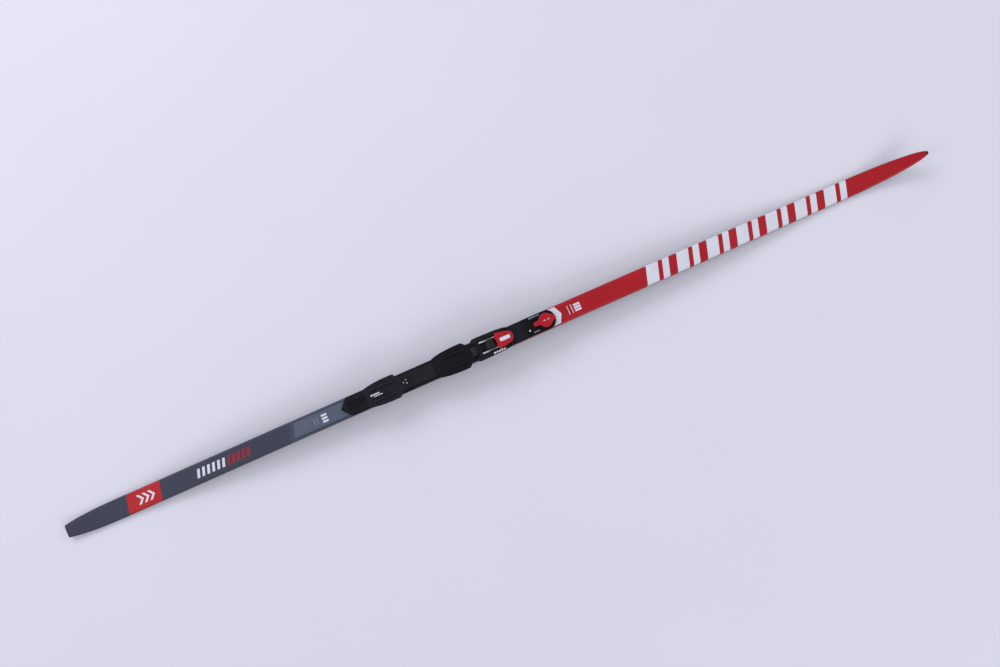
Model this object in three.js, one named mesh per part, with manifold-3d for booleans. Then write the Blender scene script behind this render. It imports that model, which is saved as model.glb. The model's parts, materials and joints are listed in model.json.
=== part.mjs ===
// A cross country ski for classic skiing, with its plate, boot binding and shift knob.
// Millimetres. +X runs from tail to tip, +Y is the skier's left, +Z is up.
// The origin is the middle of the footprint, on the snow: z = 0 where the unloaded ski touches it.
import * as THREE from "three";
import { mergeVertices } from "three/addons/utils/BufferGeometryUtils.js";
import Module from "manifold-3d";

const wasm = await Module();
wasm.setup();

// ---------------------------------------------------------------- driving dimensions

const LENGTH = 2014; // tail to tip in plan, a 202 cm ski
const TIP_X = LENGTH / 2;
const TAIL_X = -LENGTH / 2;

const TAIL_TOUCH = [-899, -875]; // flat stretches of the base that meet the snow
const SHOVEL_TOUCH = [771, 795];
const CAMBER = 18;
const TIP_RISE = 38;
const TAIL_RISE = 6;

const DECK = [-380, 150]; // where the top is level, under the binding plate
const DECK_Z = 44;

const BOND = 0.1; // glue line between bonded layers
const BASE_T = 1.4;
const LAMINATE_T = 0.6;
const TOP_SHEET_T = 1.1;
const SIDEWALL_T = 3;
const GUARD_LENGTH = 33; // tip and tail guards

const PLATE_Z = DECK_Z + BOND;
const FLANGE_Z = PLATE_Z + 1.9; // top of the plate's flange
const LIP_Z = [47.8, 49.5]; // the rail's overhanging lips
const FLANGE_Y = 20.5;
const STEM_Y = 15;
const LIP_Y = 17.4;
const RUN = 0.3; // running clearance of whatever slides on the rail
const SKIRT_Y = 20.9; // outside of the skirts that grip the rail
const SKIRT_Z = 46.4;
const SOLE_Z = 52.4; // where the boot's sole rests
const WING_Z = 48.8; // underside of the foot wings

const BAR_X = -54; // centre of the boot's toe bar
const BAR_SLOT = 5;
const PIVOT = { x: -10.5, z: 60 }; // lever pin
const BAIL_DROP = 5; // bail cross bar below the lever pin
const BAIL_TRAVEL = 5;
const LEVER_SWING = THREE.MathUtils.degToRad(75);
const WIRE_R = 1.4;
const WIRE_Y = 11.8;

const KNOB_X = 101;
const SWITCH_TRAVEL = 6; // the binding shifts this far each way
const MODULE = 0.8; // pinion under the knob
const TEETH = 14;
const PITCH_R = (MODULE * TEETH) / 2;

// ---------------------------------------------------------------- small tools

const solidOf = (geometry) => {
  const bare = new THREE.BufferGeometry().setAttribute("position", geometry.getAttribute("position"));
  if (geometry.index) bare.setIndex(geometry.index);
  const merged = mergeVertices(bare, 1e-4);
  return new wasm.Manifold(
    new wasm.Mesh({
      numProp: 3,
      vertProperties: merged.attributes.position.array,
      triVerts: new Uint32Array(merged.index.array),
    }),
  );
};

const geometryOf = (solid) => {
  const mesh = solid.getMesh();
  const geometry = new THREE.BufferGeometry();
  geometry.setAttribute("position", new THREE.BufferAttribute(new Float32Array(mesh.vertProperties), 3));
  geometry.setIndex(Array.from(mesh.triVerts));
  geometry.computeVertexNormals();
  return geometry;
};

const join = (...solids) => solids.reduce((a, b) => a.add(b));
const cut = (solid, ...tools) => tools.reduce((a, b) => a.subtract(b), solid);
const common = (...solids) => solids.reduce((a, b) => a.intersect(b));

const block = ([x0, x1], [y0, y1], [z0, z1]) => {
  const geometry = new THREE.BoxGeometry(x1 - x0, y1 - y0, z1 - z0);
  return solidOf(geometry.translate((x0 + x1) / 2, (y0 + y1) / 2, (z0 + z1) / 2));
};

const wide = (half) => [-half, half];

const outline = (points) => new THREE.Shape(points.map(([a, b]) => new THREE.Vector2(a, b)));

// Points (x, half width) down one side of a symmetric plan, mirrored into a closed shape.
const symmetric = (side) => {
  const back = side.filter(([, y]) => y > 0).map(([x, y]) => [x, -y]);
  return outline([...side.toReversed(), ...back]);
};

const raw = (shape, depth, segments) =>
  new THREE.ExtrudeGeometry(shape, { depth, bevelEnabled: false, curveSegments: segments, steps: 1 });

// A plan shape (x, y) between two heights.
const prismZ = (shape, [z0, z1], segments = 12) => solidOf(raw(shape, z1 - z0, segments).translate(0, 0, z0));

// A side view (x, z) between two widths.
const prismY = (shape, [y0, y1], segments = 12) =>
  solidOf(raw(shape, y1 - y0, segments).rotateX(Math.PI / 2).translate(0, y1, 0));

// A cross section (y, z) between two stations.
const ALONG_X = new THREE.Matrix4().set(0, 0, 1, 0, 1, 0, 0, 0, 0, 1, 0, 0, 0, 0, 0, 1);
const prismX = (shape, [x0, x1], segments = 12) =>
  solidOf(raw(shape, x1 - x0, segments).applyMatrix4(ALONG_X).translate(x0, 0, 0));

const disc = (x, y, r, [z0, z1], sides = 32) => {
  const geometry = new THREE.CylinderGeometry(r, r, z1 - z0, sides).rotateX(Math.PI / 2);
  return solidOf(geometry.translate(x, y, (z0 + z1) / 2));
};

const axle = (x, z, r, [y0, y1], sides = 24) =>
  solidOf(new THREE.CylinderGeometry(r, r, y1 - y0, sides).translate(x, (y0 + y1) / 2, z));

// ---------------------------------------------------------------- the ski's curves

// A smooth curve through knots, with no overshoot between them.
const through = (knots) => {
  const n = knots.length;
  const secant = knots.slice(1).map(([x, y], i) => (y - knots[i][1]) / (x - knots[i][0]));
  const slope = knots.map((_, i) => {
    if (i === 0) return secant[0];
    if (i === n - 1) return secant[n - 2];
    const [a, b] = [secant[i - 1], secant[i]];
    return a * b <= 0 ? 0 : (2 * a * b) / (a + b);
  });
  return (x) => {
    const i = Math.min(n - 2, Math.max(0, knots.findIndex(([k]) => k > x) - 1));
    const [[x0, y0], [x1, y1]] = [knots[i], knots[i + 1]];
    const h = x1 - x0;
    const t = Math.min(1, Math.max(0, (x - x0) / h));
    const s = t * t * (3 - 2 * t);
    return y0 + (y1 - y0) * s + h * t * (1 - t) * (slope[i] * (1 - t) - slope[i + 1] * t);
  };
};

// Height of the running base above the snow.
const baseHeight = (x) => {
  const [touchEnd, touchStart] = [SHOVEL_TOUCH[1], TAIL_TOUCH[0]];
  if (x > touchEnd) return TIP_RISE * ((x - touchEnd) / (TIP_X - touchEnd)) ** 2.2;
  if (x < touchStart) return TAIL_RISE * ((touchStart - x) / (touchStart - TAIL_X)) ** 2;
  const middle = (TAIL_TOUCH[1] + SHOVEL_TOUCH[0]) / 2;
  const u = (x - middle) / (SHOVEL_TOUCH[0] - middle);
  return Math.abs(u) < 1 ? CAMBER * (1 - u ** 4) ** 2 : 0;
};

const taper = through([
  [TAIL_X, 7],
  [-887, 9],
  [-640, 19],
  [DECK[0], DECK_Z - baseHeight(DECK[0])],
  [DECK[1], DECK_Z - baseHeight(DECK[1])],
  [400, 20.5],
  [600, 14.5],
  [783, 9],
  [TIP_X, 5.5],
]);
const thickness = (x) => (x >= DECK[0] && x <= DECK[1] ? DECK_Z - baseHeight(x) : taper(x));

// Sidecut: the width at the base, before the ends close in.
const sidecut = through([
  [TAIL_X, 45],
  [-770, 44.6],
  [-500, 43.8],
  [-60, 43.2],
  [330, 42.6],
  [783, 40.4],
  [TIP_X, 40.4],
]);
const TIP_CLOSE = 260; // the tip narrows over this length
const TIP_FLAT = 3.4; // half width of the very end
const TAIL_CLOSE = 130;
const TAIL_END_WIDTH = 27;
const halfWidth = (x) => {
  const full = sidecut(x);
  const fromTip = TIP_X - x;
  const fromTail = x - TAIL_X;
  if (fromTip < TIP_CLOSE) {
    const left = 1 - fromTip / TIP_CLOSE;
    return Math.hypot(TIP_FLAT * left, (full / 2) * Math.sqrt(1 - left ** 3.2));
  }
  if (fromTail < TAIL_CLOSE) return (full - (full - TAIL_END_WIDTH) * (1 - fromTail / TAIL_CLOSE) ** 3) / 2;
  return full / 2;
};

// Evenly spaced values, both ends included.
const spaced = (from, to, count) =>
  Array.from({ length: count + 1 }, (_, i) => from + ((to - from) * i) / count);
const STATIONS = [
  ...[0, 2, 6, 12, 20, 32, 48, 70].map((d) => TAIL_X + d),
  ...spaced(TAIL_TOUCH[0], TAIL_TOUCH[1], 1),
  ...spaced(-840, DECK[0], 11),
  ...spaced(DECK[0] + 60, DECK[1], 5),
  ...spaced(DECK[1] + 45, 740, 13),
  ...spaced(SHOVEL_TOUCH[0], SHOVEL_TOUCH[1], 1),
  ...[190, 165, 140, 115, 92, 70, 50, 32, 21, 13, 7, 3, 1, 0.3].map((d) => TIP_X - d),
];

// A closed body through cross sections [y, z], one for each station, all with the same number of points.
const loft = ([x0, x1], section) => {
  const stations = [x0, ...STATIONS.filter((x) => x > x0 + 1 && x < x1 - 1), x1];
  const rings = stations.map((x) => section(x));
  const count = rings[0].length;
  const position = rings.flatMap((ring, i) => {
    const x = stations[i];
    return ring.flatMap(([y, z]) => [x, y, z + baseHeight(x)]);
  });
  const index = [];
  for (let i = 0; i + 1 < rings.length; i++)
    for (let j = 0; j < count; j++) {
      const [a, b] = [i * count + j, i * count + ((j + 1) % count)];
      index.push(a, b, b + count, a, b + count, a + count);
    }
  const cap = (ring, at, flip) => {
    const flat = ring.map(([y, z]) => new THREE.Vector2(y, z));
    for (const [a, b, c] of THREE.ShapeUtils.triangulateShape(flat, [])) {
      if (flip) index.push(at + a, at + c, at + b);
      else index.push(at + a, at + b, at + c);
    }
  };
  cap(rings[0], 0, false);
  cap(rings.at(-1), (rings.length - 1) * count, true);
  const geometry = new THREE.BufferGeometry();
  geometry.setAttribute("position", new THREE.BufferAttribute(new Float32Array(position), 3));
  geometry.setIndex(index.toReversed());
  return solidOf(geometry);
};

const mirrored = (side) => [...side, ...side.toReversed().map(([y, z]) => [-y, z])];

// Depth of the bevelled top edge at a station, across and down.
const bevelAt = (x) => [Math.min(3.2, halfWidth(x) * 0.3), Math.min(3.4, thickness(x) * 0.3)];

// ---------------------------------------------------------------- ski

const BASE_ENDS = [TAIL_X + GUARD_LENGTH + 0.3, TIP_X - GUARD_LENGTH - 0.3];
const INNER_ENDS = [BASE_ENDS[0] + 2, BASE_ENDS[1] - 2];
const CORE_Z = BASE_T + LAMINATE_T + 2 * BOND;

const baseSheet = () => {
  const [grooveHalf, grooveDeep] = [2, 0.8];
  const groove = [-975, 700];
  const sheet = loft(BASE_ENDS, (x) => {
    const y = halfWidth(x);
    return mirrored([[y, BASE_T], [y, 0]]);
  });
  const channel = loft(groove, () =>
    mirrored([[grooveHalf, grooveDeep], [grooveHalf + 0.4, -1]]),
  );
  return cut(sheet, channel);
};

const lowerLaminate = () =>
  loft(INNER_ENDS, (x) => {
    const y = halfWidth(x) - 0.4;
    const z = BASE_T + BOND;
    return mirrored([[y, z + LAMINATE_T], [y, z]]);
  });

const core = () =>
  loft(INNER_ENDS, (x) => {
    const [bevelY, bevelZ] = bevelAt(x);
    const y = halfWidth(x) - SIDEWALL_T - BOND;
    const top = thickness(x) - TOP_SHEET_T - LAMINATE_T - 2 * BOND;
    const shoulder = Math.min(thickness(x) - bevelZ - BOND, top - 0.1);
    return mirrored([[y - bevelY + 0.4, top], [y, shoulder], [y, CORE_Z]]);
  });

const sidewall = (side) =>
  loft(INNER_ENDS, (x) => {
    const y = halfWidth(x);
    const top = thickness(x) - bevelAt(x)[1] - BOND;
    const ring = [[y - SIDEWALL_T, CORE_Z], [y - SIDEWALL_T, top], [y - 0.6, top], [y, CORE_Z]];
    return side > 0 ? ring : ring.toReversed().map(([a, b]) => [-a, b]);
  });

const upperLaminate = () =>
  loft(INNER_ENDS, (x) => {
    const y = halfWidth(x) - bevelAt(x)[0] - 1.6;
    const z = thickness(x) - TOP_SHEET_T - BOND;
    return mirrored([[y, z], [y, z - LAMINATE_T]]);
  });

// The top sheet's underside at a station: the edge of its flat part, then the edge of its bevelled part.
const sheetUnder = (x) => {
  const [bevelY, bevelZ] = bevelAt(x);
  const y = halfWidth(x) - 0.6;
  return [
    [Math.max(0.4, y - bevelY - 0.5), thickness(x) - TOP_SHEET_T],
    [y * 0.94, thickness(x) - Math.max(bevelZ, TOP_SHEET_T + 0.05)],
  ];
};

const topSheet = () =>
  loft([TAIL_X + 2, TIP_X - 3], (x) => {
    const [flat, edge] = sheetUnder(x);
    const y = halfWidth(x) - 0.6;
    const crown = [Math.max(0.6, y - bevelAt(x)[0]), thickness(x)];
    return mirrored([flat, edge, [y, edge[1]], crown]).toReversed();
  });

const guard = (ends) =>
  loft(ends, (x) => {
    const y = halfWidth(x);
    const [flat, edge] = sheetUnder(x).map(([a, z]) => [Math.max(0.2, a - 0.3), z - BOND]);
    return mirrored([flat, edge, [y, edge[1]], [y, 0.6], [y * 0.95, 0]]);
  });

// ---------------------------------------------------------------- binding plate

const roundNosed = (rear, half) =>
  symmetric([
    ...rear,
    ...spaced(Math.PI / 2, 0, 10).map((a) => [KNOB_X + half * Math.cos(a), Math.max(0, half * Math.sin(a))]),
  ]);

const RACK_SLOT_Y = [4.4, 9.9];
const PLATE_REAR = -370;

const railPlate = () => {
  const pointed = (half) => roundNosed([[PLATE_REAR, 0], [PLATE_REAR + 17, half]], half);
  const flange = prismZ(pointed(FLANGE_Y), [PLATE_Z, FLANGE_Z]);
  const stem = prismZ(pointed(STEM_Y), [FLANGE_Z - 0.5, LIP_Z[0] + 0.2]);
  const lips = prismZ(pointed(LIP_Y), LIP_Z);
  const rampSide = outline([[PLATE_REAR - 1, 45.2], [PLATE_REAR + 18, 51], [PLATE_REAR - 1, 51]]);
  const ramp = prismY(rampSide, wide(30));
  const teeth = spaced(-352, -318, 5).map((x) => block([x - 1.7, x + 1.7], wide(9.5), [47.6, 50]));
  const rackSlot = block([2, 119.4], RACK_SLOT_Y, [FLANGE_Z, 50]);
  const pinionSeat = disc(KNOB_X, 0, 7, [FLANGE_Z, 50]);
  return cut(join(flange, stem, lips), ramp, ...teeth, rackSlot, pinionSeat);
};

// Space that the rail and its clearance take inside whatever slides on it.
const railTunnel = (ends) =>
  join(
    block(ends, wide(LIP_Y + 0.4), [LIP_Z[0] - RUN, LIP_Z[1] + RUN]),
    block(ends, wide(STEM_Y + 0.4), [SKIRT_Z - 1, LIP_Z[0]]),
  );

const COVER_X = 50;
const COVER_Z = [FLANGE_Z + 0.1, 53.8];
const KNOB_RECESS = { r: 24, z: 52.4 };

const switchCover = () => {
  const shell = prismZ(roundNosed([[COVER_X, 0], [COVER_X, FLANGE_Y]], FLANGE_Y), COVER_Z);
  const rear = prismY(outline([[COVER_X - 1, 51.9], [COVER_X + 3, 54], [COVER_X - 1, 54]]), wide(30));
  const hollow = prismZ(roundNosed([[COVER_X - 1, 0], [COVER_X - 1, LIP_Y + 0.4]], LIP_Y + 0.4), [45, 51.3]);
  const recess = disc(KNOB_X, 0, KNOB_RECESS.r, [KNOB_RECESS.z, 55], 48);
  return cut(shell, rear, hollow, recess, disc(KNOB_X, 0, 4.4, [50, 53]));
};

const noseCap = () => {
  const [corner, point, edge] = [[127.5, 18.6], [136.6, 1.2], 18.6];
  const inner = FLANGE_Y + 0.3;
  const start = Math.asin(edge / inner);
  const arc = spaced(0, start, 8).map((a) => [KNOB_X + inner * Math.cos(a), inner * Math.sin(a)]);
  const back = arc.toReversed().slice(0, -1).map(([x, y]) => [x, -y]);
  const plan = outline([...back, ...arc, corner, point, [point[0], -point[1]], [corner[0], -corner[1]]]);
  const ramp = outline([[105, PLATE_Z], [138, PLATE_Z], [138, 44.9], [126, 48.4], [105, 48.8]]);
  return common(prismZ(plan, [PLATE_Z, 50]), prismY(ramp, wide(30)));
};

const detentSpring = () => {
  const [near, far] = [109.8, 114];
  const bow = [[far, 11], [111.6, 4.5], [near, 1], [near, -1], [111.6, -4.5], [far, -11]];
  const leaf = (gap) => bow.map(([x, y]) => [x + gap, y]);
  return prismZ(outline([...leaf(0), ...leaf(0.6).toReversed()]), [49.8, 51]);
};

// ---------------------------------------------------------------- knob and its gear

const knobPlan = () => {
  const left = [
    [-29, 2.6], [-26.5, 4.9], [-19, 4.8], [-14.5, 7.6], [-9.5, 13.2],
    [-2, 15.2], [5, 13.6], [11.5, 8.6], [16.5, 5.2], [20.4, 2],
  ].map(([x, y]) => new THREE.Vector2(x, y));
  const right = left.toReversed().map(({ x, y }) => new THREE.Vector2(x, -y));
  const loop = new THREE.SplineCurve([...left, ...right, left[0]]);
  return new THREE.Shape(loop.getPoints(46).slice(0, -1));
};

const HUB_SOCKET = 3.3;

const adjusterKnob = () => {
  const grip = new THREE.ExtrudeGeometry(knobPlan(), {
    depth: 4.4,
    bevelEnabled: true,
    bevelThickness: 1.2,
    bevelSize: 1.2,
    bevelOffset: -1.2,
    bevelSegments: 2,
  });
  const body = solidOf(grip.translate(KNOB_X, 0, 55.5));
  const hub = disc(KNOB_X, 0, 4, [51.3, 55]);
  const socket = disc(KNOB_X, 0, HUB_SOCKET, [50, 55.2], 6);
  const bore = disc(KNOB_X, 0, 1.4, [50, 58], 16);
  return cut(join(body, hub), socket, bore);
};

const involute = (r, baseR) => {
  const a = Math.acos(Math.min(1, baseR / r));
  return Math.tan(a) - a;
};

const pinionPlan = () => {
  const pressure = THREE.MathUtils.degToRad(20);
  const baseR = PITCH_R * Math.cos(pressure);
  const [rootR, tipR] = [PITCH_R - 0.9, PITCH_R + 0.72];
  const half = Math.PI / (2 * TEETH) - 0.012;
  const flank = [baseR, 5.5, 5.9, tipR].map((r) => [r, half + involute(PITCH_R, baseR) - involute(r, baseR)]);
  const points = [];
  for (let k = 0; k < TEETH; k++) {
    const centre = Math.PI / 2 + ((2 * k + 1) * Math.PI) / TEETH;
    const at = (r, a) => points.push([KNOB_X + r * Math.cos(centre + a), r * Math.sin(centre + a)]);
    at(rootR, -flank[0][1]);
    for (const [r, a] of flank) at(r, -a);
    for (const [r, a] of flank.toReversed()) at(r, a);
    at(rootR, flank[0][1]);
  }
  return outline(points);
};

const INDEX_R = 8.5;
const INDEX_STEPS = [-2, -1, 0, 1, 2]; // detents, half the travel apart

const knobGear = () => {
  const gear = prismZ(pinionPlan(), [46.3, 49.3]);
  const wheel = disc(KNOB_X, 0, INDEX_R, [49.8, 51], 40);
  const neck = disc(KNOB_X, 0, 4.2, [49.2, 49.9]);
  const key = disc(KNOB_X, 0, HUB_SOCKET - 0.2, [50.9, 55], 6);
  const notches = INDEX_STEPS.map((step) => {
    const a = (step * SWITCH_TRAVEL) / 2 / PITCH_R;
    return disc(KNOB_X + (INDEX_R + 0.6) * Math.cos(a), (INDEX_R + 0.6) * Math.sin(a), 1.4, [49, 52], 12);
  });
  const bore = join(disc(KNOB_X, 0, 1.5, [46, 56], 16), disc(KNOB_X, 0, 2.7, [46, 48.1], 16));
  return cut(join(gear, wheel, neck, key), ...notches, bore);
};

const knobScrew = () => {
  const head = disc(KNOB_X, 0, 2.4, [46.4, 47.9], 16);
  const drive = disc(KNOB_X, 0, 1.1, [46, 47.2], 6);
  return cut(join(head, disc(KNOB_X, 0, 1.2, [47.8, 57.6], 16)), drive);
};

// ---------------------------------------------------------------- what slides: rack, toe plate, housing

const RACK_Z = [46.3, 49.3];
const RACK_TEETH = [-4, -3, -2, -1, 0, 1, 2, 3]; // tooth numbers, counted from the knob

const adjusterRack = () => {
  const tongue = block([12, 66], wide(16.8), [49.8, 51]);
  const pitch = Math.PI * MODULE;
  const [tipY, rootY, backY] = [PITCH_R - 0.55, PITCH_R + 0.85, 9.5];
  const slope = Math.tan(THREE.MathUtils.degToRad(20));
  const half = pitch / 4 - 0.12;
  const bar = block([14, 109.6], [rootY, backY], RACK_Z);
  const web = block([14, 60], [rootY, backY], [49.2, 49.9]);
  const teeth = RACK_TEETH.map((k) => {
    const x = KNOB_X + k * pitch;
    const low = rootY + 0.1;
    const [root, tip] = [half + (low - PITCH_R) * slope, half - (PITCH_R - tipY) * slope];
    return prismZ(outline([[x - root, low], [x - tip, tipY], [x + tip, tipY], [x + root, low]]), RACK_Z);
  });
  return cut(join(tongue, bar, web, ...teeth), ...rivetHolesAt(BODY_RIVETS));
};

// A C-shaped slider: a plate with skirts that hook under the rail's lips, and wings outside them.
const slider = (plan, ends, topZ) => {
  const plate = prismZ(plan, [WING_Z, topZ]);
  const skirts = common(prismZ(plan, [SKIRT_Z, topZ]), block(ends, wide(SKIRT_Y), [SKIRT_Z, topZ]));
  return cut(join(plate, skirts), railTunnel([ends[0] - 1, ends[1] + 1]));
};

const RIDGE_Y = [9.5, 15.5];
const RIDGE_Z = 56.6;

// The two long ridges that fill the grooves of the boot's sole.
const ridges = ([x0, x1], ramp) => {
  const side = outline([
    [x0, SOLE_Z - 0.5], [x1, SOLE_Z - 0.5], [x1, SOLE_Z + 0.6],
    [x1 - ramp, RIDGE_Z], [x0 + ramp, RIDGE_Z], [x0, SOLE_Z + 0.6],
  ]);
  const [y0, y1] = RIDGE_Y;
  const across = outline([
    [y0, SOLE_Z - 1], [y1, SOLE_Z - 1], [y1, SOLE_Z + 1],
    [y1 - 1.1, RIDGE_Z + 0.1], [y0 + 1.1, RIDGE_Z + 0.1], [y0, SOLE_Z + 1],
  ]);
  const left = common(prismY(side, RIDGE_Y), prismX(across, [x0, x1]));
  return join(left, left.mirror([0, 1, 0]));
};

const LINK_Z = [49.8, 51.2];

const toePlate = () => {
  const ends = [-156, -66.4];
  const plan = symmetric([
    [ends[0], 0], [ends[0], 19.5], [-154.5, 21.6], [-145, 24.2], [-130, 26.6], [-112, 27.9],
    [-98, 28.2], [-85, 28], [-80.6, 23.6], [-78, 20.7], [ends[1], 20.7], [ends[1], 0],
  ]);
  const linkPocket = block([ends[0] - 1, -141.7], wide(14.8), [49, LINK_Z[1] + 0.2]);
  const rivetHoles = rivetHolesAt(LINK_RIVETS);
  const rivetStep = block([ends[0] - 1, -143.5], wide(9.3), [RIVET_SEAT_Z, 60]);
  const tab = block([-67, -58], wide(7), [50.1, 51.3]);
  const body = join(slider(plan, ends, SOLE_Z), ridges([-140, -84], 5));
  return join(cut(body, linkPocket, rivetStep, ...rivetHoles), tab);
};
const LINK_RIVETS = [[-149, 6], [-149, -6]];
const BODY_RIVETS = [[16, 12], [16, -12]];

const RIVET_R = 1.5;
const RIVET_SEAT_Z = 51.95;

const rivetHolesAt = (places) => places.map(([x, y]) => disc(x, y, RIVET_R + 0.15, [49, 53], 16));

const rivet = ([x, y], seatZ) =>
  join(disc(x, y, RIVET_R, [49.9, seatZ + 0.1], 16), disc(x, y, 2.4, [seatZ + 0.05, seatZ + 0.8], 16));

const CHEEK_Y = [14.6, 17.6]; // inner faces beside the bail, and beside the lever
const LEVER_BAY_X = -17;

const toeHousing = () => {
  const ends = [-66, 20];
  const plan = symmetric([
    [ends[0], 0], [ends[0], 21], [-62.5, 24.4], [-58, 25], [-40, 24.8], [-16, 24.2], [6, 22.8],
    [14, 21.4], [18.5, 19], [ends[1], 16.5], [ends[1], 0],
  ]);
  const side = outline([
    [ends[0], 46], [ends[1], 46], [ends[1], 52.9], [12, 55.4], [1, 58.4], [-4, 62.2], [-6, 63], [-15, 63],
    [-18, 62.2], [-26, 60.2], [-58, 59.4], [-63, 57.4], [ends[0], 53.6],
  ]);
  const solid = common(slider(plan, ends, 64), prismY(side, wide(30)));
  const trough = join(
    block([ends[0] - 1, LEVER_BAY_X], wide(CHEEK_Y[0]), [SOLE_Z, 70]),
    block([LEVER_BAY_X - 0.5, ends[1] + 1], wide(CHEEK_Y[1]), [SOLE_Z, 70]),
  );
  const camWindows = [-1, 1].map((s) => block([-21.5, 0.5], s > 0 ? [5, 9] : [-9, -5], [49, 53]));
  const tongueBay = block([11.7, ends[1] + 1], wide(17.1), [49, 51.2]);
  const tabBay = block([ends[0] - 1, -57.7], wide(7.3), [49, 51.5]);
  const pinHole = axle(PIVOT.x, PIVOT.z, 1.6, wide(30));
  return cut(solid, trough, ...camWindows, tongueBay, tabBay, pinHole, ...rivetHolesAt(BODY_RIVETS));
};

// The raised block between the claws, with the slot that takes the boot's toe bar.
const barBlock = () => {
  const [low, top] = [SOLE_Z + 0.2, 58];
  const half = BAR_SLOT / 2;
  const side = outline([
    [-70.5, low], [-48.8, low], [-48.8, top - 1.6], [-50, top],
    [BAR_X + half + 0.5, top], [BAR_X + half, top - 0.8],
    [BAR_X + half, low + 1.1], [BAR_X + half - 0.9, low + 0.5], [BAR_X - half + 0.9, low + 0.5],
    [BAR_X - half, low + 1.1], [BAR_X - half, top - 1.4], [BAR_X - half - 0.9, top],
    [-66, top], [-70.5, top - 3.4],
  ]);
  const ribs = [-67.2, -62.4].map((x) => block([x - 0.7, x + 0.7], wide(7), [top - 0.7, top + 1]));
  return cut(prismY(side, wide(9.5)), ...ribs);
};

const flexor = () => {
  const low = SOLE_Z + 0.2;
  const side = outline([
    [-38, low], [-19.2, low], [-19.2, 58.6], [-21, 60.6], [-30, 61], [-35.4, 59.4], [-38.4, 55],
  ]);
  const grooves = [-33, -28.5, -24].map((x) => block([x - 0.6, x + 0.6], wide(10), [60, 62]));
  const plan = symmetric([[-39, 0], [-39, 7.2], [-36.5, 9.3], [-18, 9.3], [-18, 0]]);
  return cut(common(prismY(side, wide(9.4)), prismZ(plan, [50, 64])), ...grooves);
};

const leverPin = () => axle(PIVOT.x, PIVOT.z, 1.5, wide(23.4));

// ---------------------------------------------------------------- bail: wire and claws

const HEAD = { x: -47.8, z: 58.8, r: 2.3 };

const bailWire = () => {
  const barZ = PIVOT.z - BAIL_DROP;
  const arm = [
    [HEAD.x, WIRE_Y, HEAD.z], [-42, WIRE_Y, 58.5], [-35, WIRE_Y, 57],
    [-28, WIRE_Y, 55.5], [-22, WIRE_Y, barZ], [-15.5, WIRE_Y, barZ],
    [-12.4, WIRE_Y - 0.8, barZ], [-10.8, WIRE_Y - 2.6, barZ],
  ];
  const across = [[PIVOT.x, 8, barZ], [PIVOT.x, 0, barZ], [PIVOT.x, -8, barZ]];
  const points = [...arm, ...across, ...arm.toReversed().map(([x, y, z]) => [x, -y, z])];
  const path = new THREE.CatmullRomCurve3(points.map((p) => new THREE.Vector3(...p)), false, "centripetal");
  const section = new THREE.Shape().absarc(0, 0, WIRE_R, 0, 2 * Math.PI);
  const wire = new THREE.ExtrudeGeometry(section, { steps: 56, curveSegments: 5, extrudePath: path });
  const head = new THREE.SphereGeometry(HEAD.r, 14, 8).translate(HEAD.x, 0, HEAD.z);
  const heads = [WIRE_Y, -WIRE_Y].map((y) => solidOf(head.clone().translate(0, y, 0)));
  return join(solidOf(wire), ...heads);
};

// A hook that reaches over the toe bar, with a foot under the wire's head.
const barClaw = (side) => {
  const profile = outline([
    [-57, 57.8], [-51.2, 57.8], [-51.2, 53.2], [-43.5, 53.2], [-43.5, 56.2], [-50.4, 56.2],
    [-50.4, 60], [-51.4, 61], [-55.6, 61], [-57, 59.6],
  ]);
  const y = side > 0 ? [9.9, 13.9] : [-13.9, -9.9];
  return prismY(profile, y);
};

// ---------------------------------------------------------------- lever

const leverTop = (x) => {
  const curve = through([[-14, 62.6], [-11, 64.1], [0, 64.7], [12, 63.6], [20, 61.4], [23.6, 59.6]]);
  return curve(x);
};

// Side view of everything under the lever's top surface, lowered by drop.
const underTop = (ends, drop, floor) => {
  const roof = spaced(ends[1], ends[0], 10).map((x) => [x, leverTop(x) - drop]);
  return outline([[ends[0], floor], [ends[1], floor], ...roof]);
};

const leverPlan = (inset) =>
  symmetric([
    [-14 - inset, 0], [-14 - inset, 15.2 - inset], [-12.4, 16.9 - inset],
    [-10, 17.1 - inset], [4, 15.2 - inset], [14, 12.8 - inset],
    [19.4 - inset / 2, 10.2 - inset], [22.6 - inset, 6.4 - inset / 2], [23.6 - inset, 0],
  ]);

const camPlate = ([y0, y1]) => {
  const steps = spaced(0, LEVER_SWING, 7);
  // Where the cross bar stands in the lever's own frame, as the lever turns and the bail slides.
  const track = steps.map((a) => {
    const x = (BAIL_TRAVEL * a) / LEVER_SWING;
    return [x * Math.cos(a) - BAIL_DROP * Math.sin(a), -x * Math.sin(a) - BAIL_DROP * Math.cos(a)];
  });
  const slotR = WIRE_R + 0.3;
  const slot = join(...track.map(([x, z]) => axle(PIVOT.x + x, PIVOT.z + z, slotR, [y0 - 1, y1 + 1], 12)));
  const reach = 9.7;
  const fan = spaced(-Math.PI * 0.79, -Math.PI * 0.36, 8).map((a) => [
    PIVOT.x + reach * Math.cos(a),
    PIVOT.z + reach * Math.sin(a),
  ]);
  const plate = prismY(outline([[PIVOT.x - 3, 62.6], ...fan, [PIVOT.x + 4, 62.6]]), [y0, y1]);
  return cut(plate, slot);
};

const INLAY = { x: [-6, 16.5], y: 3.9, deep: 0.7 };

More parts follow.
